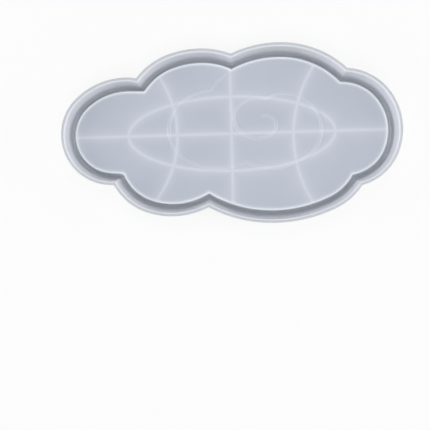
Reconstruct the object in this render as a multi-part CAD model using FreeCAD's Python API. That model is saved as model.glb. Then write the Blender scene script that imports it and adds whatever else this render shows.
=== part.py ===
import FreeCAD, Part
import math, os

# Resin casting mould for a cloud-shaped tray: one soft silicone moulding.
# Frame: millimetres, +Z up, Z = 0 on the face the mould rests on, origin at the
# middle of the outline, +X along the long direction (and along the long rib).
#
# The real thing is a single continuous moulding. Each node below is one of its
# moulded features (outer wall, channel floor, riser, deck, ribs, raised lines),
# cut face to face where one feature runs into the next. Nothing overlaps.

os.makedirs("parts", exist_ok=True)
V = FreeCAD.Vector

# ------------------------------------------------------------------ dimensions
HEIGHT = 20.0            # underside to the flat top of the outer wall
RIM_WIDTH = 3.0          # flat top of the outer wall, outline to the mouth
RIM_R_OUT = 0.8          # rounding of the wall's outer top edge
RIM_R_IN = 0.8           # rounding of the mouth edge
FOOT_R = 0.4             # rounding of the wall's outer bottom edge
WALL_DRAFT = 10.5        # degrees, cavity side of the outer wall
FLOOR_Z = 2.5            # channel floor above the underside
FLOOR_R = 1.8            # fillet at both sides of the channel floor
DECK_Z = 10.0            # top of the raised deck
DECK_EDGE = 10.7         # outline to the deck's edge
DECK_R = 1.0             # rounding of the deck's edge
RISER_DRAFT = 10.0       # degrees, channel side of the riser
RISER_WALL = 2.5         # thickness of the riser
DECK_SKIN = 2.5          # thickness of the deck
CUSP_R = 1.5             # fillet in the six inward corners of the outline
RIB_WIDTH = 2.2          # thickness of the stiffening ribs
RIB_TOP = DECK_Z - DECK_SKIN
LONG_RIB_Y = 1.5         # centre line of the lengthwise rib
CROSS_RIB_X = 0.9        # centre line of the crosswise rib
OVAL = (0.7, 1.3, 91.9, 32.9)        # centre x, y and half axes of the oval rib
ARC_LEFT = (-141.4, 2.7, 94.0)       # centre x, y and radius
ARC_RIGHT = (167.7, -3.2, 111.9)
BEAD_WIDTH = 3.2         # raised decorative line on the deck, at its foot
BEAD_TOP = 1.6           # its flat top
BEAD_HEIGHT = 0.5
FLOOR_OUT = 5.6          # outline to the line where wall and channel trough part
FLOOR_IN = 9.7           # outline to the line where trough and riser part

# Outline: six outward lobes, counter-clockwise, each a chain of tangent arcs:
# start x, y, start direction in degrees, then (radius, sweep in degrees).
LOBES = (
    (100.94, 56.09, 137.29, ((83.1, 14.8), (86.0, 22.7), (99.4, 25.9))),     # upper right
    (1.79, 70.15, 158.44, ((75.8, 22.7), (86.5, 17.7), (61.4, 41.3))),       # upper left
    (-78.18, 50.36, 161.26, ((39.1, 17.9), (65.6, 43.9), (44.1, 130.0), (44.1, 28.1))),    # left
    (-102.70, -44.61, 301.20, ((52.5, 13.0), (50.5, 25.2), (71.0, 95.6))),   # lower left
    (-21.24, -63.18, 330.46, ((117.0, 20.4), (126.2, 34.5), (56.0, 44.8))),  # lower right
    (116.60, -46.55, 17.32, ((46.6, 51.5), (55.5, 57.0), (51.3, 72.4))),     # right
)
# Beside its two notches the left lobe runs straighter at the deck than at the rim.
STRAIGHTER = ((2, 0, 280.0), (2, 3, 180.0))     # lobe, arc, radius at the deck
DECK_CUSP_R = {1: 2.2, 2: 3.6}                  # fillets after these lobes, at the deck
EASE = (5.0, 10.0)                              # inward offsets between which that comes in

# Raised decorative line: one drawn stroke that turns back at three points.
TAIL = ((1.2, 60.0), (-0.4, 56.3), (-4.0, 53.0), (-9.2, 48.8), (-13.2, 45.2), (-16.1, 40.9))
LOOP_LEFT = ((-16.1, 40.9), (-28.4, 38.2), (-42.0, 31.3), (-51.2, 20.5), (-54.9, 7.3),
             (-52.0, -7.2), (-43.4, -18.5), (-30.2, -25.6), (-14.6, -28.7), (1.1, -27.3),
             (12.7, -24.1))
LOOP_RIGHT = ((12.7, -24.1), (25.5, -28.2), (38.8, -30.1), (54.3, -26.8), (70.0, -18.3),
              (79.0, -5.4), (80.4, 6.7), (75.1, 20.1), (63.2, 31.4), (51.2, 35.7),
              (40.1, 34.3), (32.4, 31.2))
SPIRAL = ((32.4, 31.2), (22.4, 32.4), (11.3, 28.6), (3.8, 20.0), (3.6, 11.2), (9.6, 2.2),
          (19.4, -2.5), (30.5, -2.4), (39.5, 3.5), (40.1, 10.6), (35.3, 15.9), (28.7, 16.4))


# ------------------------------------------------------------------ the outline
def lobe_arcs(lobe):
    """Centres, radii and start and end angles of a lobe's arcs."""
    x, y, d, chain = lobe
    d = math.radians(d)
    arcs = []
    for r, sweep in chain:
        sweep = math.radians(sweep)
        cx, cy = x - r * math.sin(d), y + r * math.cos(d)
        a0 = d - math.pi / 2
        arcs.append((cx, cy, r, a0, a0 + sweep))
        d += sweep
        x, y = cx + r * math.cos(a0 + sweep), cy + r * math.sin(a0 + sweep)
    return arcs


ARCS = [lobe_arcs(l) for l in LOBES]


def circles_meet(c1, r1, c2, r2, near):
    dx, dy = c2[0] - c1[0], c2[1] - c1[1]
    d = math.hypot(dx, dy)
    a = (r1 * r1 - r2 * r2 + d * d) / (2 * d)
    h = math.sqrt(max(r1 * r1 - a * a, 0.0))
    mx, my = c1[0] + a * dx / d, c1[1] + a * dy / d
    pts = [(mx - h * dy / d, my + h * dx / d), (mx + h * dy / d, my - h * dx / d)]
    return min(pts, key=lambda p: math.hypot(p[0] - near[0], p[1] - near[1]))


def eased(offset):
    """How far the deck's own shape has come in at an inward offset, 0 to 1."""
    return min(max((offset - EASE[0]) / (EASE[1] - EASE[0]), 0.0), 1.0)


def lobes_at(offset):
    """The lobes' arcs moved inward by offset."""
    s = eased(offset)
    out = []
    for i, lobe in enumerate(ARCS):
        arcs = [[cx, cy, r - offset, a0, a1] for cx, cy, r, a0, a1 in lobe]
        for k, j, r_deck in STRAIGHTER:
            if k == i:
                arc = arcs[j]
                a = arc[4] if j == 0 else arc[3]        # the end that its neighbour shares
                r = 1 / ((1 - s) / arc[2] + s / r_deck)
                arc[0] += (arc[2] - r) * math.cos(a)
                arc[1] += (arc[2] - r) * math.sin(a)
                arc[2] = r
        out.append(arcs)
    return out


def outline(offset, z):
    """The outline moved inward by offset, as (start, middle, end) triples of arcs.
    Every offset has the same 25 arcs in the same order."""
    lobes = lobes_at(offset)
    n = len(lobes)
    fillets = []
    for i in range(n):
        a, b = lobes[i][-1], lobes[(i + 1) % n][0]
        r1, r2 = a[2], b[2]
        cusp_r = CUSP_R + (DECK_CUSP_R.get(i, CUSP_R) - CUSP_R) * eased(offset)
        near = (LOBES[(i + 1) % n][0], LOBES[(i + 1) % n][1])
        cusp = circles_meet(a[:2], r1, b[:2], r2, near)
        c = circles_meet(a[:2], r1 + cusp_r, b[:2], r2 + cusp_r, cusp)
        t1 = (a[0] + (c[0] - a[0]) * r1 / (r1 + cusp_r), a[1] + (c[1] - a[1]) * r1 / (r1 + cusp_r))
        t2 = (b[0] + (c[0] - b[0]) * r2 / (r2 + cusp_r), b[1] + (c[1] - b[1]) * r2 / (r2 + cusp_r))
        m = ((t1[0] + t2[0]) / 2 - c[0], (t1[1] + t2[1]) / 2 - c[1])
        k = cusp_r / math.hypot(*m)
        fillets.append((t1, (c[0] + m[0] * k, c[1] + m[1] * k), t2))
    out = []
    for i in range(n):
        start, end = fillets[i - 1][2], fillets[i][0]
        for j, (cx, cy, r, a0, a1) in enumerate(lobes[i]):
            if j == 0:
                a0 = math.atan2(start[1] - cy, start[0] - cx)
            if j == len(lobes[i]) - 1:
                a1 = math.atan2(end[1] - cy, end[0] - cx)
            while a1 < a0:
                a1 += 2 * math.pi
            while a1 - a0 > 2 * math.pi:
                a1 -= 2 * math.pi
            am = (a0 + a1) / 2
            out.append(tuple((cx + r * math.cos(t), cy + r * math.sin(t), z) for t in (a0, am, a1)))
        f = fillets[i]
        out.append(tuple((p[0], p[1], z) for p in f))
    # share exact end points between neighbours
    for i in range(len(out)):
        p = out[i][2]
        q = out[(i + 1) % len(out)]
        out[(i + 1) % len(out)] = (p, q[1], q[2])
    out[0] = (out[-1][2], out[0][1], out[0][2])
    return [Part.Arc(V(*p), V(*q), V(*r)).toShape() for p, q, r in out]


# ------------------------------------------------------------------ solids from sections
def as_solid(faces):
    shell = Part.makeShell(faces)
    shell.sewShape(1e-4)
    if shell.ShapeType != "Shell":
        shell = shell.Shells[0]
    solid = Part.makeSolid(shell)
    if solid.Volume < 0:
        solid.reverse()
    return solid


def band(a, b, za, zb):
    """Faces between two outlines; a flat ring when both lie at one height."""
    if abs(za - zb) < 1e-9:
        wa, wb = Part.Wire(a), Part.Wire(b)
        return Part.makeFace([wa, wb], "Part::FaceMakerBullseye").Faces
    return [Part.makeRuledSurface(p, q) for p, q in zip(a, b)]


def ring(section):
    """Closed section of (offset, z) points carried round the outline."""
    rows = [(outline(o, z), z) for o, z in section]
    faces = []
    for i in range(len(rows)):
        (a, za), (b, zb) = rows[i], rows[(i + 1) % len(rows)]
        faces += band(a, b, za, zb)
    return as_solid(faces)


def filled(levels):
    """Solid inside the outline through (offset, z) levels, flat top and bottom."""
    rows = [(outline(o, z), z) for o, z in levels]
    faces = [Part.Face(Part.Wire(rows[0][0])), Part.Face(Part.Wire(rows[-1][0]))]
    for (a, za), (b, zb) in zip(rows[:-1], rows[1:]):
        faces += band(a, b, za, zb)
    return as_solid(faces)


def rounded(points, steps=4):
    """Section with the corners that carry a radius rounded: (offset, z, radius)."""
    out = []
    n = len(points)
    for i, (x, y, r) in enumerate(points):
        if r <= 0:
            out.append((x, y))
            continue
        px, py, _ = points[i - 1]
        qx, qy, _ = points[(i + 1) % n]
        ux, uy = px - x, py - y
        vx, vy = qx - x, qy - y
        lu, lv = math.hypot(ux, uy), math.hypot(vx, vy)
        ux, uy, vx, vy = ux / lu, uy / lu, vx / lv, vy / lv
        half = math.acos(max(-1, min(1, ux * vx + uy * vy))) / 2
        t = r / math.tan(half)
        bx, by = ux + vx, uy + vy
        lb = math.hypot(bx, by)
        cx, cy = x + bx / lb * r / math.sin(half), y + by / lb * r / math.sin(half)
        a0 = math.atan2(y + uy * t - cy, x + ux * t - cx)
        a1 = math.atan2(y + vy * t - cy, x + vx * t - cx)
        while a1 - a0 > math.pi:
            a1 -= 2 * math.pi
        while a1 - a0 < -math.pi:
            a1 += 2 * math.pi
        for k in range(steps + 1):
            a = a0 + (a1 - a0) * k / steps
            out.append((cx + r * math.cos(a), cy + r * math.sin(a)))
    return out


tan_w = math.tan(math.radians(WALL_DRAFT))
tan_r = math.tan(math.radians(RISER_DRAFT))
wall_foot = RIM_WIDTH + (HEIGHT - FLOOR_Z) * tan_w      # wall face meets the floor
riser_foot = DECK_EDGE - (DECK_Z - FLOOR_Z) * tan_r     # riser face meets the floor
floor_out_z = FLOOR_Z + (wall_foot - FLOOR_OUT) / tan_w   # height of the wall face there
floor_in_z = FLOOR_Z + (FLOOR_IN - riser_foot) / tan_r    # height of the riser face there
deck_rim = DECK_EDGE + RISER_WALL                       # riser ends, deck panel starts
cell_foot = riser_foot + RISER_WALL                     # inside of the riser at Z = 0

# Outer wall: stands on the underside, flat rounded top, drafted cavity side.
rim_wall = ring(rounded((
    (0.0, 0.0, FOOT_R), (0.0, HEIGHT, RIM_R_OUT), (RIM_WIDTH, HEIGHT, RIM_R_IN),
    (FLOOR_OUT, floor_out_z, 0.0), (FLOOR_OUT, 0.0, 0.0))))

# Channel floor: the trough at the bottom of the channel, with its two fillets.
channel_floor = ring(rounded((
    (FLOOR_OUT, 0.0, 0.0), (FLOOR_OUT, floor_out_z, 0.0), (wall_foot, FLOOR_Z, FLOOR_R),
    (riser_foot, FLOOR_Z, FLOOR_R), (FLOOR_IN, floor_in_z, 0.0), (FLOOR_IN, 0.0, 0.0))))

# Riser: the inner wall of the channel, up to the rounded edge of the deck.
deck_riser = ring(rounded((
    (FLOOR_IN, 0.0, 0.0), (FLOOR_IN, floor_in_z, 0.0), (DECK_EDGE, DECK_Z, DECK_R),
    (deck_rim, DECK_Z, 0.0), (deck_rim, RIB_TOP, 0.0), (cell_foot, 0.0, 0.0))))

# Deck: the flat raised panel that shapes the tray's floor.
deck_panel = filled(((deck_rim, RIB_TOP), (deck_rim, DECK_Z)))

# ------------------------------------------------------------------ ribs
# The ribs stand between the underside and the deck, inside the riser. Where two
# ribs cross, the first keeps the upper half of the crossing and the second the lower.
under_deck = filled(((cell_foot, 0.0), (deck_rim, RIB_TOP)))


def disc(cx, cy, r):
    return Part.makeCylinder(r, RIB_TOP, V(cx, cy, 0), V(0, 0, 1))


def oval(cx, cy, a, b):
    e = Part.Ellipse(V(cx, cy, 0), a, b).toShape()
    return Part.Face(Part.Wire(e)).extrude(V(0, 0, RIB_TOP))


half = RIB_WIDTH / 2
blanks = {
    "lengthwise_rib": Part.makeBox(300, RIB_WIDTH, RIB_TOP, V(-150, LONG_RIB_Y - half, 0)),
    "crosswise_rib": Part.makeBox(RIB_WIDTH, 200, RIB_TOP, V(CROSS_RIB_X - half, -100, 0)),
    "left_arc_rib": disc(ARC_LEFT[0], ARC_LEFT[1], ARC_LEFT[2] + half).cut(
        disc(ARC_LEFT[0], ARC_LEFT[1], ARC_LEFT[2] - half)),
    "right_arc_rib": disc(ARC_RIGHT[0], ARC_RIGHT[1], ARC_RIGHT[2] + half).cut(
        disc(ARC_RIGHT[0], ARC_RIGHT[1], ARC_RIGHT[2] - half)),
    "oval_rib": oval(OVAL[0], OVAL[1], OVAL[2] + half, OVAL[3] + half).cut(
        oval(OVAL[0], OVAL[1], OVAL[2] - half, OVAL[3] - half)),
}
blanks = {k: b.common(under_deck) for k, b in blanks.items()}
ribs = dict(blanks)
names = list(blanks)
low = Part.makeBox(400, 300, RIB_TOP / 2, V(-200, -150, 0))
high = Part.makeBox(400, 300, RIB_TOP / 2, V(-200, -150, RIB_TOP / 2))
for i, a in enumerate(names):
    for b in names[i + 1:]:
        cross = blanks[a].common(blanks[b])
        if cross.Volume > 1e-6:
            ribs[a] = ribs[a].cut(cross.common(low))
            ribs[b] = ribs[b].cut(cross.common(high))

# ------------------------------------------------------------------ raised lines
deck_flat = Part.Face(Part.Wire(outline(DECK_EDGE + DECK_R + 0.1, DECK_Z))).extrude(V(0, 0, 5))


shoulder = (BEAD_WIDTH - BEAD_TOP) / 2
half_section = (                         # from the foot up to the middle of the flat top
    (BEAD_WIDTH / 2, 0.0), (BEAD_WIDTH / 2 - 0.5 * shoulder, 0.7 * BEAD_HEIGHT),
    (BEAD_TOP / 2, BEAD_HEIGHT))


def bead(points):
    """Low flat-topped line on the deck along a smooth curve."""
    pts = [V(x, y, DECK_Z) for x, y in points]
    curve = Part.BSplineCurve()
    curve.interpolate(pts)
    spine = Part.Wire(curve.toShape())
    t = curve.tangent(curve.FirstParameter)[0]
    n = V(-t.y, t.x, 0)
    p = pts[0]
    side = [p - n * d + V(0, 0, h) for d, h in half_section]
    side += [p + n * d + V(0, 0, h) for d, h in reversed(half_section)]
    prof = Part.makePolygon(side + side[:1])
    sweep = Part.BRepOffsetAPI.MakePipeShell(spine)
    sweep.setBiNormalMode(V(0, 0, 1))
    sweep.add(prof)
    sweep.build()
    sweep.makeSolid()
    s = sweep.shape()
    return Part.Solid(s) if s.ShapeType == "Shell" else s


def dome(point):
    """Round end of a raised line: the same section turned about its middle."""
    p = V(point[0], point[1], DECK_Z)
    out = [p] + [p + V(d, 0, h) for d, h in half_section] + [p + V(0, 0, BEAD_HEIGHT)]
    return Part.Face(Part.makePolygon(out + out[:1])).revolve(p, V(0, 0, 1), 360)


tail = bead(TAIL).common(deck_flat).fuse(dome(TAIL[-1]))
loop_left = bead(LOOP_LEFT).fuse(dome(LOOP_LEFT[-1])).cut(tail)
loop_right = bead(LOOP_RIGHT).fuse(dome(LOOP_RIGHT[-1])).cut(loop_left)
spiral = bead(SPIRAL).fuse(dome(SPIRAL[-1])).cut(loop_right)

# ------------------------------------------------------------------ files
nodes = {
    "rim_wall": rim_wall,
    "channel_floor": channel_floor,
    "deck_riser": deck_riser,
    "deck_panel": deck_panel,
    "tail_line_bead": tail,
    "left_cloud_line_bead": loop_left,
    "right_cloud_line_bead": loop_right,
    "spiral_line_bead": spiral,
}
nodes.update(ribs)

for name, shape in nodes.items():
    if shape.ShapeType != "Solid":
        solids = sorted(shape.Solids, key=lambda s: -s.Volume)
        print(name, "solids", [round(s.Volume, 3) for s in solids])
        shape = solids[0]
    print("%-24s valid %s volume %10.1f  z %.2f..%.2f" % (
        name, shape.isValid(), shape.Volume, shape.BoundBox.ZMin, shape.BoundBox.ZMax))
    shape.exportStep("parts/%s.step" % name)
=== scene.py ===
import math

import bmesh
import bpy
import numpy as np
from mathutils import Matrix, Vector
from mathutils.geometry import delaunay_2d_cdt


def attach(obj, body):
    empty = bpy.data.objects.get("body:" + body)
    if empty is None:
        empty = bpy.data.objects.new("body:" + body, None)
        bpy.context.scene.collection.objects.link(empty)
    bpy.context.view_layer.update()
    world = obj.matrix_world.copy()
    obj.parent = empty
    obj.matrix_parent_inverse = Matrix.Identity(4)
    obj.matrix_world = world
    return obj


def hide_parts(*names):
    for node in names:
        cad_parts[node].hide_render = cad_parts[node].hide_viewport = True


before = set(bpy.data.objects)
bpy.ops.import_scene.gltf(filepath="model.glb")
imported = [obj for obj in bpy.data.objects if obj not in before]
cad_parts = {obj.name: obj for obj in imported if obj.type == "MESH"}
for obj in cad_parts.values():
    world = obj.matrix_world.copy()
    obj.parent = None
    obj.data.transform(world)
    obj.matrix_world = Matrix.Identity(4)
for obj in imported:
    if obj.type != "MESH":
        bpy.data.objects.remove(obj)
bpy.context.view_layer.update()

MM = 0.001

# ---------------------------------------------------------------- dimensions (mm)
HEIGHT = 20.0
RIM_WIDTH = 3.0
RIM_R_OUT = 0.8
RIM_R_IN = 0.8
FOOT_R = 0.4
WALL_DRAFT = 10.5
FLOOR_Z = 2.5
FLOOR_R = 1.8
DECK_Z = 10.0
DECK_EDGE = 10.7
DECK_R = 1.0
RISER_DRAFT = 10.0
RISER_WALL = 2.5
DECK_SKIN = 2.5
CUSP_R = 1.5
RIB_WIDTH = 2.2
RIB_TOP = DECK_Z - DECK_SKIN
LONG_RIB_Y = 1.5
CROSS_RIB_X = 0.9
OVAL = (0.7, 1.3, 91.9, 32.9)
ARC_LEFT = (-141.4, 2.7, 94.0)
ARC_RIGHT = (167.7, -3.2, 111.9)
BEAD_HALF = 1.6
BEAD_HEIGHT = 0.5

LOBES = (
    (100.94, 56.09, 137.29, ((83.1, 14.8), (86.0, 22.7), (99.4, 25.9))),
    (1.79, 70.15, 158.44, ((75.8, 22.7), (86.5, 17.7), (61.4, 41.3))),
    (-78.18, 50.36, 161.26, ((39.1, 17.9), (65.6, 43.9), (44.1, 130.0), (44.1, 28.1))),
    (-102.70, -44.61, 301.20, ((52.5, 13.0), (50.5, 25.2), (71.0, 95.6))),
    (-21.24, -63.18, 330.46, ((117.0, 20.4), (126.2, 34.5), (56.0, 44.8))),
    (116.60, -46.55, 17.32, ((46.6, 51.5), (55.5, 57.0), (51.3, 72.4))),
)
# Beside its two notches the left lobe runs straighter at the deck than at the rim.
STRAIGHTER = ((2, 0, 280.0), (2, 3, 180.0))
DECK_CUSP_R = {1: 2.2, 2: 3.6}
EASE = (5.0, 10.0)

TAIL = ((1.2, 60.0), (-0.4, 56.3), (-4.0, 53.0), (-9.2, 48.8), (-13.2, 45.2), (-16.1, 40.9))
LOOP_LEFT = ((-16.1, 40.9), (-28.4, 38.2), (-42.0, 31.3), (-51.2, 20.5), (-54.9, 7.3),
             (-52.0, -7.2), (-43.4, -18.5), (-30.2, -25.6), (-14.6, -28.7), (1.1, -27.3),
             (12.7, -24.1))
LOOP_RIGHT = ((12.7, -24.1), (25.5, -28.2), (38.8, -30.1), (54.3, -26.8), (70.0, -18.3),
              (79.0, -5.4), (80.4, 6.7), (75.1, 20.1), (63.2, 31.4), (51.2, 35.7),
              (40.1, 34.3), (32.4, 31.2))
SPIRAL = ((32.4, 31.2), (22.4, 32.4), (11.3, 28.6), (3.8, 20.0), (3.6, 11.2), (9.6, 2.2),
          (19.4, -2.5), (30.5, -2.4), (39.5, 3.5), (40.1, 10.6), (35.3, 15.9), (28.7, 16.4))


# ---------------------------------------------------------------- the outline
def lobe_arcs(lobe):
    x, y, d, chain = lobe
    d = math.radians(d)
    arcs = []
    for r, sweep in chain:
        sweep = math.radians(sweep)
        cx, cy = x - r * math.sin(d), y + r * math.cos(d)
        a0 = d - math.pi / 2
        arcs.append((cx, cy, r, a0, a0 + sweep))
        d += sweep
        x, y = cx + r * math.cos(a0 + sweep), cy + r * math.sin(a0 + sweep)
    return arcs


ARCS = [lobe_arcs(l) for l in LOBES]


def circles_meet(c1, r1, c2, r2, near):
    dx, dy = c2[0] - c1[0], c2[1] - c1[1]
    d = math.hypot(dx, dy)
    a = (r1 * r1 - r2 * r2 + d * d) / (2 * d)
    h = math.sqrt(max(r1 * r1 - a * a, 0.0))
    mx, my = c1[0] + a * dx / d, c1[1] + a * dy / d
    pts = [(mx - h * dy / d, my + h * dx / d), (mx + h * dy / d, my - h * dx / d)]
    return min(pts, key=lambda p: math.hypot(p[0] - near[0], p[1] - near[1]))


def eased(offset):
    return min(max((offset - EASE[0]) / (EASE[1] - EASE[0]), 0.0), 1.0)


def lobes_at(offset):
    """The lobes' arcs moved inward by offset."""
    s = eased(offset)
    out = []
    for i, lobe in enumerate(ARCS):
        arcs = [[cx, cy, r - offset, a0, a1] for cx, cy, r, a0, a1 in lobe]
        for k, j, r_deck in STRAIGHTER:
            if k == i:
                arc = arcs[j]
                a = arc[4] if j == 0 else arc[3]
                r = 1 / ((1 - s) / arc[2] + s / r_deck)
                arc[0] += (arc[2] - r) * math.cos(a)
                arc[1] += (arc[2] - r) * math.sin(a)
                arc[2] = r
        out.append(arcs)
    return out


def outline_arcs(offset):
    """The outline moved inward, as 25 arcs (cx, cy, r, a0, a1), lobes turning one way and
    the small cusp fillets the other."""
    lobes = lobes_at(offset)
    n = len(lobes)
    fillets = []
    for i in range(n):
        a, b = lobes[i][-1], lobes[(i + 1) % n][0]
        r1, r2 = a[2], b[2]
        cusp_r = CUSP_R + (DECK_CUSP_R.get(i, CUSP_R) - CUSP_R) * eased(offset)
        near = (LOBES[(i + 1) % n][0], LOBES[(i + 1) % n][1])
        cusp = circles_meet(a[:2], r1, b[:2], r2, near)
        c = circles_meet(a[:2], r1 + cusp_r, b[:2], r2 + cusp_r, cusp)
        g1 = math.atan2(a[1] - c[1], a[0] - c[0])
        g2 = math.atan2(b[1] - c[1], b[0] - c[0])
        while g2 - g1 > math.pi:
            g2 -= 2 * math.pi
        while g2 - g1 < -math.pi:
            g2 += 2 * math.pi
        fillets.append((c[0], c[1], cusp_r, g1, g2))
    out = []
    for i in range(n):
        f0, f1 = fillets[i - 1], fillets[i]
        for j, (cx, cy, r, a0, a1) in enumerate(lobes[i]):
            if j == 0:
                a0 = math.atan2(f0[1] - cy, f0[0] - cx)
            if j == len(lobes[i]) - 1:
                a1 = math.atan2(f1[1] - cy, f1[0] - cx)
            while a1 < a0:
                a1 += 2 * math.pi
            while a1 - a0 > 2 * math.pi:
                a1 -= 2 * math.pi
            out.append((cx, cy, r, a0, a1))
        out.append(f1)
    return out


STEP = 1.35
COUNTS = [max(5, int(math.ceil(abs(a1 - a0) * r / STEP))) for cx, cy, r, a0, a1 in outline_arcs(5.0)]
RING = sum(COUNTS)


def ring_points(offset):
    rows = []
    for (cx, cy, r, a0, a1), k in zip(outline_arcs(offset), COUNTS):
        t = a0 + (a1 - a0) * np.arange(k) / k
        rows.append(np.c_[cx + r * np.cos(t), cy + r * np.sin(t)])
    return np.vstack(rows)


# ---------------------------------------------------------------- section
def rounded(points, closed=False):
    """(offset, z, radius, steps) corners to a finely stepped open section."""
    out = []
    n = len(points)
    for i, (x, y, r, steps) in enumerate(points):
        if r <= 0 or i in (0, n - 1):
            out.append((x, y))
            continue
        px, py = points[i - 1][:2]
        qx, qy = points[i + 1][:2]
        ux, uy, vx, vy = px - x, py - y, qx - x, qy - y
        lu, lv = math.hypot(ux, uy), math.hypot(vx, vy)
        ux, uy, vx, vy = ux / lu, uy / lu, vx / lv, vy / lv
        half = math.acos(max(-1, min(1, ux * vx + uy * vy))) / 2
        t = r / math.tan(half)
        bx, by = ux + vx, uy + vy
        lb = math.hypot(bx, by)
        cx, cy = x + bx / lb * r / math.sin(half), y + by / lb * r / math.sin(half)
        a0 = math.atan2(y + uy * t - cy, x + ux * t - cx)
        a1 = math.atan2(y + vy * t - cy, x + vx * t - cx)
        while a1 - a0 > math.pi:
            a1 -= 2 * math.pi
        while a1 - a0 < -math.pi:
            a1 += 2 * math.pi
        pad = min(0.12, 0.2 * r)
        out.append((x + ux * (t + pad), y + uy * (t + pad)))
        for k in range(steps + 1):
            a = a0 + (a1 - a0) * k / steps
            out.append((cx + r * math.cos(a), cy + r * math.sin(a)))
        out.append((x + vx * (t + pad), y + vy * (t + pad)))
    return out


tan_w = math.tan(math.radians(WALL_DRAFT))
tan_r = math.tan(math.radians(RISER_DRAFT))
wall_foot = RIM_WIDTH + (HEIGHT - FLOOR_Z) * tan_w
riser_foot = DECK_EDGE - (DECK_Z - FLOOR_Z) * tan_r
deck_rim = DECK_EDGE + RISER_WALL
cell_foot = riser_foot + RISER_WALL
FLAT = DECK_EDGE + DECK_R + 0.35           # the flat deck starts here

section = rounded((
    (0.9, 0.0, 0.0, 0),
    (0.0, 0.0, FOOT_R, 4),
    (0.0, HEIGHT, RIM_R_OUT, 8),
    (RIM_WIDTH, HEIGHT, RIM_R_IN, 7),
    (RIM_WIDTH + 1.9 * tan_w, HEIGHT - 1.9, 0.0, 0),
    (RIM_WIDTH + 3.6 * tan_w, HEIGHT - 3.6, 0.0, 0),
    (wall_foot, FLOOR_Z, FLOOR_R, 8),
    (riser_foot, FLOOR_Z, FLOOR_R, 8),
    (DECK_EDGE, DECK_Z, DECK_R, 8),
    (FLAT, DECK_Z, 0.0, 0),
))
# a few more rows on the tall faces, so that nothing is one long strip
full = [section[0]]
for a, b in zip(section[:-1], section[1:]):
    k = max(1, int(round(math.hypot(b[0] - a[0], b[1] - a[1]) / 2.6)))
    for i in range(1, k + 1):
        full.append((a[0] + (b[0] - a[0]) * i / k, a[1] + (b[1] - a[1]) * i / k))
section = full



def painted_highlight_value(off, z):
    """How much a row of the section lies on one of the two rounded edges that get a painted highlight (the rim's
    inner edge and the deck's edge), 0 to 1.
    """
    if z > HEIGHT - 4.5:
        if off < 1.0:
            return 0.0
        if z < HEIGHT - 0.5:
            return math.exp(-((HEIGHT - 0.5 - z) / 1.7) ** 2)
        return math.exp(-((off - 2.95) / 0.5) ** 2)
    if z > DECK_Z - 0.8:
        return 0.84 * math.exp(-((off - DECK_EDGE - 0.65) / (0.5 if off < DECK_EDGE + 0.65 else 1.6)) ** 2)
    return 0.0


def shoulder_painted_highlight(h):
    """The painted highlight on the raised line's shoulders, by height above the deck."""
    return float(np.interp(h / BEAD_HEIGHT, (0.0, 0.03, 0.3, 0.8, 0.94, 1.0), (0.0, 0.04, 0.22, 0.20, 0.09, 0.06)))


verts, faces = [], []
# painted highlight strength per vertex, stored in the 'edge' attribute
highlight_marks = []
starts = []
for off, z in section:
    p = ring_points(off)
    starts.append(len(verts))
    verts.extend((x, y, z) for x, y in p)
    highlight_marks.extend([painted_highlight_value(off, z)] * RING)
for a, b in zip(starts[:-1], starts[1:]):
    for i in range(RING):
        j = (i + 1) % RING
        faces.append((a + i, a + j, b + j, b + i))


# ---------------------------------------------------------------- curves on the deck
def smooth_curve(points, step=1.0):
    """A natural cubic through the points, by chord length, sampled evenly."""
    p = np.array(points, float)
    t = np.r_[0, np.cumsum(np.hypot(*np.diff(p, axis=0).T))]
    n = len(p)
    out = []
    h = np.diff(t)
    A = np.zeros((n, n))
    R = np.zeros((n, 2))
    A[0, 0] = A[-1, -1] = 1
    for i in range(1, n - 1):
        A[i, i - 1], A[i, i], A[i, i + 1] = h[i - 1], 2 * (h[i - 1] + h[i]), h[i]
        R[i] = 6 * ((p[i + 1] - p[i]) / h[i] - (p[i] - p[i - 1]) / h[i - 1])
    m = np.linalg.solve(A, R)

    def at(s):
        i = min(max(int(np.searchsorted(t, s) - 1), 0), n - 2)
        a, b = (t[i + 1] - s) / h[i], (s - t[i]) / h[i]
        return a * p[i] + b * p[i + 1] + ((a ** 3 - a) * m[i] + (b ** 3 - b) * m[i + 1]) * h[i] ** 2 / 6

    fine = np.array([at(s) for s in np.linspace(0, t[-1], 600)])
    d = np.r_[0, np.cumsum(np.hypot(*np.diff(fine, axis=0).T))]
    k = max(4, int(round(d[-1] / step)))
    s = np.linspace(0, d[-1], k + 1)
    return np.c_[np.interp(s, d, fine[:, 0]), np.interp(s, d, fine[:, 1])]


def near_polyline(q, line, chunk=4000):
    """Distance from each point to an open polyline."""
    a, b = line[:-1], line[1:]
    ab = b - a
    ll = (ab ** 2).sum(1)
    out = np.empty(len(q))
    for s in range(0, len(q), chunk):
        e = q[s:s + chunk, None] - a[None]
        t = np.clip((e * ab).sum(2) / ll, 0, 1)
        out[s:s + chunk] = np.sqrt(((e - t[..., None] * ab) ** 2).sum(2).min(1))
    return out


def side_line(line, d, wrap=False):
    """The curve moved sideways by d."""
    if wrap:
        t = np.roll(line, -1, 0) - np.roll(line, 1, 0)
    else:
        t = np.gradient(line, axis=0)
    t /= np.hypot(*t.T)[:, None]
    return line + d * np.c_[-t[:, 1], t[:, 0]]


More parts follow.
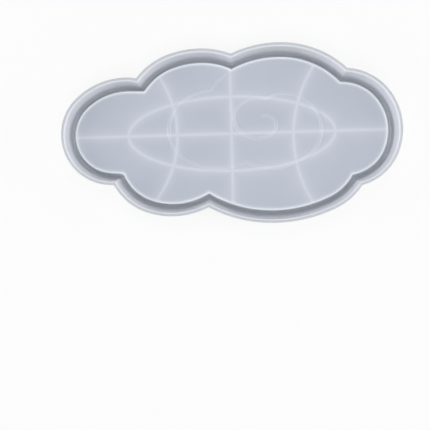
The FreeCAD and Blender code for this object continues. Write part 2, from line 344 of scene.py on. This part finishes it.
def triangulate(points, edges, outer):
    """Constrained triangles of the region inside the ring given by the first `outer` points."""
    v, e, f, ov, oe, of_ = delaunay_2d_cdt(
        [Vector((float(x), float(y))) for x, y in points], edges, [list(range(outer))], 1, 1e-5, True)
    v = np.array([(p.x, p.y) for p in v])
    f = np.array([t for t in f if len(t) == 3])
    mid = v[f].mean(axis=1)
    f = f[inside_ring(mid, np.array(points)[:outer])]
    area = ((v[f[:, 1], 0] - v[f[:, 0], 0]) * (v[f[:, 2], 1] - v[f[:, 0], 1])
            - (v[f[:, 1], 1] - v[f[:, 0], 1]) * (v[f[:, 2], 0] - v[f[:, 0], 0]))
    f[area < 0] = f[area < 0][:, ::-1]
    return v, f, ov


def inside_ring(q, ring, chunk=4000):
    """Even-odd test of points against a closed ring."""
    x0, y0 = ring[:, 0], ring[:, 1]
    x1, y1 = np.roll(x0, -1), np.roll(y0, -1)
    out = np.zeros(len(q), bool)
    for s in range(0, len(q), chunk):
        px, py = q[s:s + chunk, 0, None], q[s:s + chunk, 1, None]
        c = (y0 > py) != (y1 > py)
        with np.errstate(divide="ignore", invalid="ignore"):
            xi = x0 + (py - y0) * (x1 - x0) / (y1 - y0)
        out[s:s + chunk] = (np.sum(c & (px < xi), axis=1) % 2) == 1
    return out


def hex_fill(ring, pitch, margin):
    """Filler points well inside a ring."""
    lo, hi = ring.min(0), ring.max(0)
    ys = np.arange(lo[1], hi[1], pitch * 0.866)
    pts = []
    for k, y in enumerate(ys):
        xs = np.arange(lo[0] + (k % 2) * pitch / 2, hi[0], pitch)
        pts.append(np.c_[xs, np.full(len(xs), y)])
    pts = np.vstack(pts)
    pts = pts[inside_ring(pts, ring)]
    closed = np.vstack([ring, ring[:1]])
    return pts[near_polyline(pts, closed) > margin]


# ---------------------------------------------------------------- deck top with the raised line
strokes = [smooth_curve(c) for c in (TAIL, LOOP_LEFT, LOOP_RIGHT, SPIRAL)]
flat_ring = ring_points(FLAT)
closed_ring = np.vstack([flat_ring, flat_ring[:1]])
keep_in = ring_points(FLAT + 0.3)


def bead_height(q):
    d = np.min([near_polyline(q, s) for s in strokes], axis=0)
    # flat top, rounded shoulders, soft foot
    knots_d = np.array([0.0, 0.75, 0.95, 1.10, 1.22, 1.34, 1.50, 1.62, 1.78, 1.95])
    knots_h = np.array([1.0, 0.99, 0.94, 0.86, 0.74, 0.57, 0.31, 0.15, 0.03, 0.0]) * BEAD_HEIGHT
    h = np.interp(d, knots_d, knots_h)
    edge = near_polyline(q, closed_ring)
    return h * np.clip((edge - 0.15) / 1.6, 0, 1) ** 0.7


pts = [flat_ring]
edges = [(i, (i + 1) % RING) for i in range(RING)]
count = RING
for d in (0.55, 1.2, 2.0, 3.0):
    pts.append(ring_points(FLAT + d))
    edges += [(count + i, count + (i + 1) % RING) for i in range(RING)]
    count += RING
LATERAL = (0.0, 0.75, 0.95, 1.10, 1.22, 1.34, 1.50, 1.62, 1.78, 1.95)
for s in strokes:
    for d in LATERAL:
        for sgn in ((1,) if d == 0 else (1, -1)):
            line = side_line(s, sgn * d)
            # points of a side line that another stretch of the stroke covers are dropped
            own = np.min([near_polyline(line, k) for k in strokes], axis=0)
            ok = (own > d - 0.02) & inside_ring(line, keep_in)
            idx = []
            for k in range(len(line)):
                if ok[k]:
                    pts.append(line[k:k + 1])
                    idx.append(count)
                    count += 1
                else:
                    idx.append(None)
            edges += [(a, b) for a, b in zip(idx[:-1], idx[1:]) if a is not None and b is not None]
    # rounded ends and corners
    for end in (s[0], s[-1]):
        for d in LATERAL[1:]:
            m = max(8, int(2 * math.pi * d / 0.5))
            a = np.arange(m) / m * 2 * math.pi
            c = end + d * np.c_[np.cos(a), np.sin(a)]
            own = np.min([near_polyline(c, k) for k in strokes], axis=0)
            c = c[(own > d - 0.02) & inside_ring(c, keep_in)]
            pts.append(c)
            count += len(c)
fill = hex_fill(flat_ring, 3.6, 4.6)
fill = fill[np.min([near_polyline(fill, s) for s in strokes], axis=0) > 2.6]
pts.append(fill)
tv, tf, orig = triangulate(np.vstack(pts), edges, RING)
th = DECK_Z + bead_height(tv)
# the deck's own outer ring is the last row of the wall section
base = starts[-1]
index = {}
for k, src in enumerate(orig):
    for o in src:
        if o < RING:
            index[k] = base + o
inward = near_polyline(tv, closed_ring)
for k in sorted(set(tf.ravel().tolist())):
    if k not in index:
        index[k] = len(verts)
        verts.append((tv[k, 0], tv[k, 1], th[k]))
        highlight_marks.append(max(painted_highlight_value(FLAT + inward[k], DECK_Z), shoulder_painted_highlight(th[k] - DECK_Z)))
faces += [tuple(index[k] for k in f) for f in tf]

# ---------------------------------------------------------------- underside with the ribs
under_ring = ring_points(section[0][0])
# height of the underside from the riser inwards: foot, drafted face, root fillet, skin
riser_in = rounded((
    (cell_foot - 1.0, 0.0, 0.0, 0), (cell_foot, 0.0, 0.25, 2), (deck_rim + 0.15, RIB_TOP, 1.0, 5),
    (deck_rim + 3.0, RIB_TOP, 0.0, 0)))[1:-1]
half = RIB_WIDTH / 2
rib_side = rounded((
    (0.0, 0.0, 0.0, 0), (half - 0.12, 0.0, 0.2, 2), (half + 0.12, RIB_TOP, 0.9, 5),
    (half + 3.0, RIB_TOP, 0.0, 0)))[1:-1]
riser_in = [(o, max(0.0, min(RIB_TOP, z))) for o, z in riser_in]
rib_side = [(o, max(0.0, min(RIB_TOP, z))) for o, z in rib_side]

reach = ring_points(cell_foot - 2.0)


def line_points(a, b, step=1.6):
    a, b = np.array(a, float), np.array(b, float)
    k = max(2, int(round(np.hypot(*(b - a)) / step)))
    return a + (b - a) * np.linspace(0, 1, k + 1)[:, None]


def arc_points(cx, cy, r, a0, a1, step=1.5):
    k = int(abs(a1 - a0) * r / step)
    t = np.linspace(a0, a1, k + 1)
    return np.c_[cx + r * np.cos(t), cy + r * np.sin(t)]


t_el = np.linspace(0, 2 * math.pi, 301)[:-1]
oval_line = np.c_[OVAL[0] + OVAL[2] * np.cos(t_el), OVAL[1] + OVAL[3] * np.sin(t_el)]
rib_lines = [
    (line_points((-150, LONG_RIB_Y), (150, LONG_RIB_Y)), False),
    (line_points((CROSS_RIB_X, -80), (CROSS_RIB_X, 80)), False),
    (arc_points(*ARC_LEFT, -0.75, 0.75), False),
    (arc_points(*ARC_RIGHT, math.pi - 0.65, math.pi + 0.65), False),
    (oval_line, True),
]


def rib_distance(q):
    x, y = q[:, 0], q[:, 1]
    d = [np.abs(y - LONG_RIB_Y), np.abs(x - CROSS_RIB_X)]
    for cx, cy, r in (ARC_LEFT, ARC_RIGHT):
        d.append(np.abs(np.hypot(x - cx, y - cy) - r))
    ol = np.vstack([oval_line, oval_line[:1]])
    d.append(near_polyline(q, ol))
    return np.min(d, axis=0)


pts = [under_ring]
edges = [(i, (i + 1) % RING) for i in range(RING)]
count = RING
riser_rings = []
for o, z in riser_in:
    r = ring_points(o)
    riser_rings.append(r)
    pts.append(r)
    edges += [(count + i, count + (i + 1) % RING) for i in range(RING)]
    count += RING
for line, wrap in rib_lines:
    for d, z in rib_side:
        for sgn in (1, -1):
            s = side_line(line, sgn * d, wrap)
            ok = inside_ring(s, reach)
            idx = []
            for k in range(len(s)):
                if ok[k]:
                    pts.append(s[k:k + 1])
                    idx.append(count)
                    count += 1
                else:
                    idx.append(None)
            pairs = list(zip(idx[:-1], idx[1:])) + ([(idx[-1], idx[0])] if wrap else [])
            edges += [(a, b) for a, b in pairs if a is not None and b is not None]
fill = hex_fill(ring_points(deck_rim + 1.2), 5.0, 1.5)
fill = fill[rib_distance(fill) > half + 2.2]
pts.append(fill)
uv, uf, orig = triangulate(np.vstack(pts), edges, RING)
# riser height: between which two rings a point lies, and how far across
zr = np.zeros(len(uv))
levels = np.zeros(len(uv), int)
for r in riser_rings:
    levels += inside_ring(uv, r).astype(int)
closed = [np.vstack([r, r[:1]]) for r in riser_rings]
zk = [z for o, z in riser_in]
near = [None] * len(closed)
zr[levels >= len(closed)] = RIB_TOP
for k in range(len(closed)):
    # exactly on ring k, whichever side rounding put it
    m = (levels == k) | (levels == k + 1)
    if m.any():
        d = near_polyline(uv[m], closed[k])
        full_d = np.full(len(uv), np.inf)
        full_d[m] = d
        near[k] = full_d
for k in range(len(closed) + 1):
    m = levels == k
    if not m.any():
        continue
    if k == 0:
        zr[m] = zk[0]
    elif k == len(closed):
        zr[m] = zk[-1]
    else:
        da, db = near[k - 1][m], near[k][m]
        t = da / np.maximum(da + db, 1e-9)
        zr[m] = zk[k - 1] + (zk[k] - zk[k - 1]) * t
zr[levels == 0] = 0.0
zrib = np.interp(rib_distance(uv), [o for o, z in rib_side], [z for o, z in rib_side])
zu = np.minimum(zr, zrib)
base = starts[0]
index = {}
for k, src in enumerate(orig):
    for o in src:
        if o < RING:
            index[k] = base + o
for k in sorted(set(uf.ravel().tolist())):
    if k not in index:
        index[k] = len(verts)
        verts.append((uv[k, 0], uv[k, 1], zu[k]))
        highlight_marks.append(0.0)
faces += [tuple(index[k] for k in f[::-1]) for f in uf]

co = np.array(verts, float) * MM
mesh = bpy.data.meshes.new("silicone_mould")
mesh.from_pydata(co.tolist(), [], faces)
# the 'edge' attribute carries the painted highlight on the rounded edges and the raised line's shoulders
mesh.attributes.new("edge", "FLOAT", "POINT").data.foreach_set("value", np.array(highlight_marks, np.float32))
mesh.validate()
mesh.update()
mould = bpy.data.objects.new("silicone_mould", mesh)
bpy.context.scene.collection.objects.link(mould)
for p in mesh.polygons:
    p.use_smooth = True

bm = bmesh.new()
bm.from_mesh(mesh)
bmesh.ops.dissolve_degenerate(bm, dist=1e-8, edges=bm.edges)
bmesh.ops.recalc_face_normals(bm, faces=bm.faces)
bm.to_mesh(mesh)
bm.free()

mark = mesh.attributes.new("deck", "FLOAT", "POINT")
xy = np.array([v.co[:2] for v in mesh.vertices]) / MM
height = np.array([v.co[2] for v in mesh.vertices]) / MM
value = np.zeros(len(xy), np.float32)
top = (height > DECK_Z - 0.01) & (height < DECK_Z + 2.0) & inside_ring(xy, ring_points(FLAT - 0.3))
value[top] = 1.0
mark.data.foreach_set("value", value)

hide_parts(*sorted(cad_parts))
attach(mould, "root")


# ---------------------------------------------------------------- materials
def node_tree(name):
    m = bpy.data.materials.new(name)
    m.use_nodes = True
    nt = m.node_tree
    nt.nodes.clear()
    return m, nt


class Graph:
    """Short-hand for building a node graph."""

    def __init__(self, nt):
        self.nt = nt

    def node(self, kind, **props):
        n = self.nt.nodes.new(kind)
        for k, v in props.items():
            setattr(n, k, v)
        return n

    def put(self, sock, v):
        if isinstance(v, bpy.types.NodeSocket):
            self.nt.links.new(v, sock)
        else:
            sock.default_value = v

    def math(self, op, a, b=None, c=None, clamp=False):
        n = self.node("ShaderNodeMath", operation=op, use_clamp=clamp)
        for s, v in zip(n.inputs, (a, b, c)):
            if v is not None:
                self.put(s, v)
        return n.outputs[0]

    def ramp(self, v, lo, hi, a=0.0, b=1.0):
        n = self.node("ShaderNodeMapRange", interpolation_type="SMOOTHSTEP", clamp=True)
        for i, x in enumerate((v, lo, hi, a, b)):
            self.put(n.inputs[i], x)
        return n.outputs[0]

    def mix(self, f, a, b):
        n = self.node("ShaderNodeMix", data_type="RGBA", clamp_factor=True)
        self.put(n.inputs[0], f)
        for i, v in ((6, a), (7, b)):
            if isinstance(v, bpy.types.NodeSocket):
                self.nt.links.new(v, n.inputs[i])
            else:
                n.inputs[i].default_value = (*v, 1.0)
        return n.outputs[2]

    def noise(self, vec, scale, detail=2.0, rough=0.5):
        n = self.node("ShaderNodeTexNoise")
        self.put(n.inputs["Vector"], vec)
        n.inputs["Scale"].default_value = scale
        n.inputs["Detail"].default_value = detail
        n.inputs["Roughness"].default_value = rough
        return n.outputs[0]


silicone, nt = node_tree("silicone")
g = Graph(nt)
out = g.node("ShaderNodeOutputMaterial")
bsdf = g.node("ShaderNodeBsdfPrincipled")
nt.links.new(bsdf.outputs[0], out.inputs[0])
tc = g.node("ShaderNodeTexCoord")
obj = tc.outputs["Object"]
sep = g.node("ShaderNodeSeparateXYZ")
g.put(sep.inputs[0], obj)
X, Y, Z = (g.math("MULTIPLY", s, 1000.0) for s in sep.outputs)        # millimetres


def ring_distance(cx, cy, r):
    """Distance from a circle's line, on the plan."""
    dx, dy = g.math("SUBTRACT", X, cx), g.math("SUBTRACT", Y, cy)
    d = g.math("SQRT", g.math("ADD", g.math("MULTIPLY", dx, dx), g.math("MULTIPLY", dy, dy)))
    return g.math("ABSOLUTE", g.math("SUBTRACT", d, r))


def oval_distance(cx, cy, a, b):
    """Distance from an ellipse's line, near enough: f / |grad f|."""
    u, v = g.math("DIVIDE", g.math("SUBTRACT", X, cx), a), g.math("DIVIDE", g.math("SUBTRACT", Y, cy), b)
    f = g.math("SQRT", g.math("ADD", g.math("MULTIPLY", u, u), g.math("MULTIPLY", v, v)))
    gu, gv = g.math("DIVIDE", u, a), g.math("DIVIDE", v, b)
    grad = g.math("SQRT", g.math("ADD", g.math("MULTIPLY", gu, gu), g.math("MULTIPLY", gv, gv)))
    t = g.math("DIVIDE", g.math("MULTIPLY", f, g.math("SUBTRACT", f, 1.0)), g.math("MAXIMUM", grad, 1e-6))
    return g.math("ABSOLUTE", t)


d_long = g.math("ABSOLUTE", g.math("SUBTRACT", Y, LONG_RIB_Y))
d_cross = g.math("ABSOLUTE", g.math("SUBTRACT", X, CROSS_RIB_X))
d_left = ring_distance(*ARC_LEFT)
d_right = ring_distance(*ARC_RIGHT)
d_oval = oval_distance(*OVAL)
ribs = (d_long, d_cross, d_left, d_right, d_oval)


on_deck = g.node("ShaderNodeAttribute", attribute_name="deck").outputs["Fac"]
# where the painted highlight lies, from the 'edge' attribute
on_painted_highlight = g.node("ShaderNodeAttribute", attribute_name="edge").outputs["Fac"]
nearest = ribs[0]
for d in ribs[1:]:
    nearest = g.math("MINIMUM", nearest, d)
# masks for the painted light over the ribs: a bright core and a broad glow
painted_rib_core = g.math("MULTIPLY", g.ramp(nearest, 0.4, 2.1, 1.0, 0.0), on_deck)
glow = g.math("MULTIPLY", g.math("EXPONENT", g.math("DIVIDE", nearest, -4.5)), on_deck)

BODY = (0.740, 0.760, 0.812)
CHANNEL_PAINTED_SHADE = (0.636, 0.660, 0.706)           # painted shade, deep in the channel
RIM_TOP_PAINTED_SHADE = (0.614, 0.632, 0.676)           # painted shade on the flat top of the wall
SKIN_PAINTED_SHADE = (0.572, 0.608, 0.683)          # painted shade: the thin skin over the cells, darker where the dark under the deck shows through
RIB_PAINTED_LIGHT = (0.792, 0.812, 0.892)        # painted light over a rib, where the thicker silicone scatters more light back
EDGE_PAINTED_HIGHLIGHT = (0.885, 0.908, 0.955)          # painted highlight on the rounded edges and on the raised line's shoulders
cloud = g.noise(obj, 22.0, 3.0, 0.55)
# painted shade: darker towards the bottom of the channel
tone = g.mix(g.ramp(Z, 3.2, 11.5), CHANNEL_PAINTED_SHADE, BODY)
# painted shade on the rim's flat top
tone = g.mix(g.ramp(Z, HEIGHT - 0.6, HEIGHT - 0.05), tone, RIM_TOP_PAINTED_SHADE)
# painted shade over the deck's cells
tone = g.mix(on_deck, tone, SKIN_PAINTED_SHADE)
tone = g.mix(g.ramp(cloud, 0.38, 0.66, 0.0, 0.16), tone, (0.660, 0.692, 0.764))
# painted light over the ribs: a broad glow and a brighter core
tone = g.mix(g.math("MULTIPLY", glow, 0.45), tone, RIB_PAINTED_LIGHT)
tone = g.mix(g.math("MULTIPLY", painted_rib_core, 0.43), tone, RIB_PAINTED_LIGHT)
# painted highlight: the rounded edges and the raised line's shoulders lighter
tone = g.mix(on_painted_highlight, tone, EDGE_PAINTED_HIGHLIGHT)
nt.links.new(tone, bsdf.inputs["Base Color"])

# satin, with faint cloudy variation and a fine frosted grain
grain = g.noise(obj, 2600.0, 2.0, 0.6)
patches = g.noise(obj, 60.0, 3.0, 0.5)
nt.links.new(g.math("ADD", g.ramp(patches, 0.35, 0.65, 0.26, 0.30), g.math("MULTIPLY", grain, 0.06)),
             bsdf.inputs["Roughness"])
bump = g.node("ShaderNodeBump")
bump.inputs["Strength"].default_value = 0.10
bump.inputs["Distance"].default_value = 0.00006
nt.links.new(grain, bump.inputs["Height"])
nt.links.new(bump.outputs[0], bsdf.inputs["Normal"])
bsdf.inputs["IOR"].default_value = 1.41
bsdf.inputs["Subsurface Weight"].default_value = 1.0
bsdf.inputs["Subsurface Radius"].default_value = (1.0, 1.0, 1.0)
bsdf.inputs["Subsurface Scale"].default_value = 0.0007
mould.data.materials.append(silicone)

# ---------------------------------------------------------------- floor, light, camera
scene = bpy.context.scene
scene.view_settings.view_transform = "Standard"
scene.view_settings.look = "None"
scene.view_settings.exposure = 0.0
scene.view_settings.gamma = 1.0

def table_material(name, albedo, glow):
    m, nt = node_tree(name)
    g = Graph(nt)
    out = g.node("ShaderNodeOutputMaterial")
    b = g.node("ShaderNodeBsdfPrincipled")
    nt.links.new(b.outputs[0], out.inputs[0])
    b.inputs["Base Color"].default_value = (albedo, albedo, albedo, 1)
    b.inputs["Roughness"].default_value = 0.9
    b.inputs["Specular IOR Level"].default_value = 0.1
    b.inputs["Emission Color"].default_value = (1, 1, 1, 1)
    b.inputs["Emission Strength"].default_value = glow
    return m


# A pale shooting table that glows a little, except where the mould stands on it.
patch = ring_points(2.5)
around = 6000.0 * patch / np.hypot(*patch.T)[:, None]
me = bpy.data.meshes.new("floor")
me.from_pydata(
    [(x * MM, y * MM, 0.0) for x, y in np.vstack([patch, around])], [],
    [tuple(range(RING))] + [(i, RING + i, RING + (i + 1) % RING, (i + 1) % RING) for i in range(RING)])
floor = bpy.data.objects.new("floor", me)
floor.location = (0, 0, -0.0002)
me.materials.append(table_material("table_under", 0.2, 0.0))
me.materials.append(table_material("table", 0.2, 0.78))
for p in me.polygons:
    p.material_index = 0 if p.index == 0 else 1
scene.collection.objects.link(floor)

world = bpy.data.worlds.new("world")
scene.world = world
world.use_nodes = True
bg = world.node_tree.nodes["Background"]
bg.inputs[0].default_value = (1.0, 1.0, 1.0, 1)
bg.inputs[1].default_value = 0.36


def area(name, loc, target, size, power, colour=(1, 1, 1)):
    l = bpy.data.lights.new(name, "AREA")
    l.shape = "RECTANGLE"
    l.size, l.size_y = size
    l.energy = power
    l.color = colour
    o = bpy.data.objects.new(name, l)
    o.location = loc
    o.rotation_mode = "QUATERNION"
    o.rotation_quaternion = (Vector(target) - Vector(loc)).to_track_quat("-Z", "Y")
    scene.collection.objects.link(o)
    return o


for name, azimuth, elevation, power in (
        ("front", 270, 12, 0.5), ("front_left", 225, 12, 1.0), ("front_right", 315, 12, 0.3),
        ("left_low", 180, 12, 6.0), ("right_low", 0, 12, 5.1),
        ("back", 90, 12, 0.7), ("back_left", 135, 12, 0.6), ("back_right", 45, 12, 0.6),
        ("front_high", 270, 58, 3.0), ("back_high", 90, 58, 2.0),
        ("left_high", 180, 58, 0.5), ("right_high", 0, 58, 1.6)):
    a, e = math.radians(azimuth), math.radians(elevation)
    area(name + "_softbox", (1.2 * math.cos(e) * math.cos(a), 1.2 * math.cos(e) * math.sin(a), 1.2 * math.sin(e) + 0.01),
         (0, 0, 0), (0.55, 0.55), power)

# The camera looks almost straight down. FOOT is where a plumb line from the lens falls,
# in the part's own frame; the mould lies turned a little in view.
D = 0.5574
TURN = math.radians(1.42)
cx0, cy0 = 0.00557, -0.04344            # where the plumb line from the lens falls


def camera():
    cam = bpy.data.cameras.new("camera")
    cam.sensor_fit = "HORIZONTAL"
    cam.sensor_width = 36.0
    cam.lens = 36.0 * 634.0 / 430.0
    o = bpy.data.objects.new("camera", cam)
    scene.collection.objects.link(o)
    scene.camera = o
    # picture axes of the lens: tilt so that the plumb line shows at FOOT_PX
    fx, fy = 238.0, 184.0
    u, v = (fx - 215.0) / 634.0, -(fy - 215.0) / 634.0
    d = Vector((u, v, 1.0)).normalized()                 # plumb line in (right, up, forward)
    w = Vector((0, 0, 1)).cross(d)
    c = d.z
    K = Matrix(((0, -w.z, w.y), (w.z, 0, -w.x), (-w.y, w.x, 0)))
    Q = Matrix.Identity(3) + K + (K @ K) * (1.0 / (1.0 + c))
    R = Q @ Matrix(((1, 0, 0), (0, 1, 0), (0, 0, -1)))   # rows: right, up, forward
    rt, up, fw = (Vector(R[i]) for i in range(3))
    turn = Matrix.Rotation(-TURN, 3, "Z")                # picture axes to the part's axes
    rt, up, fw = (turn @ a for a in (rt, up, fw))
    M = Matrix((rt, up, -fw)).transposed().to_4x4()
    M.translation = Vector((cx0, cy0, D + 0.020))
    o.matrix_world = M
    cam.clip_start, cam.clip_end = 0.01, 50
    return o


cam = camera()
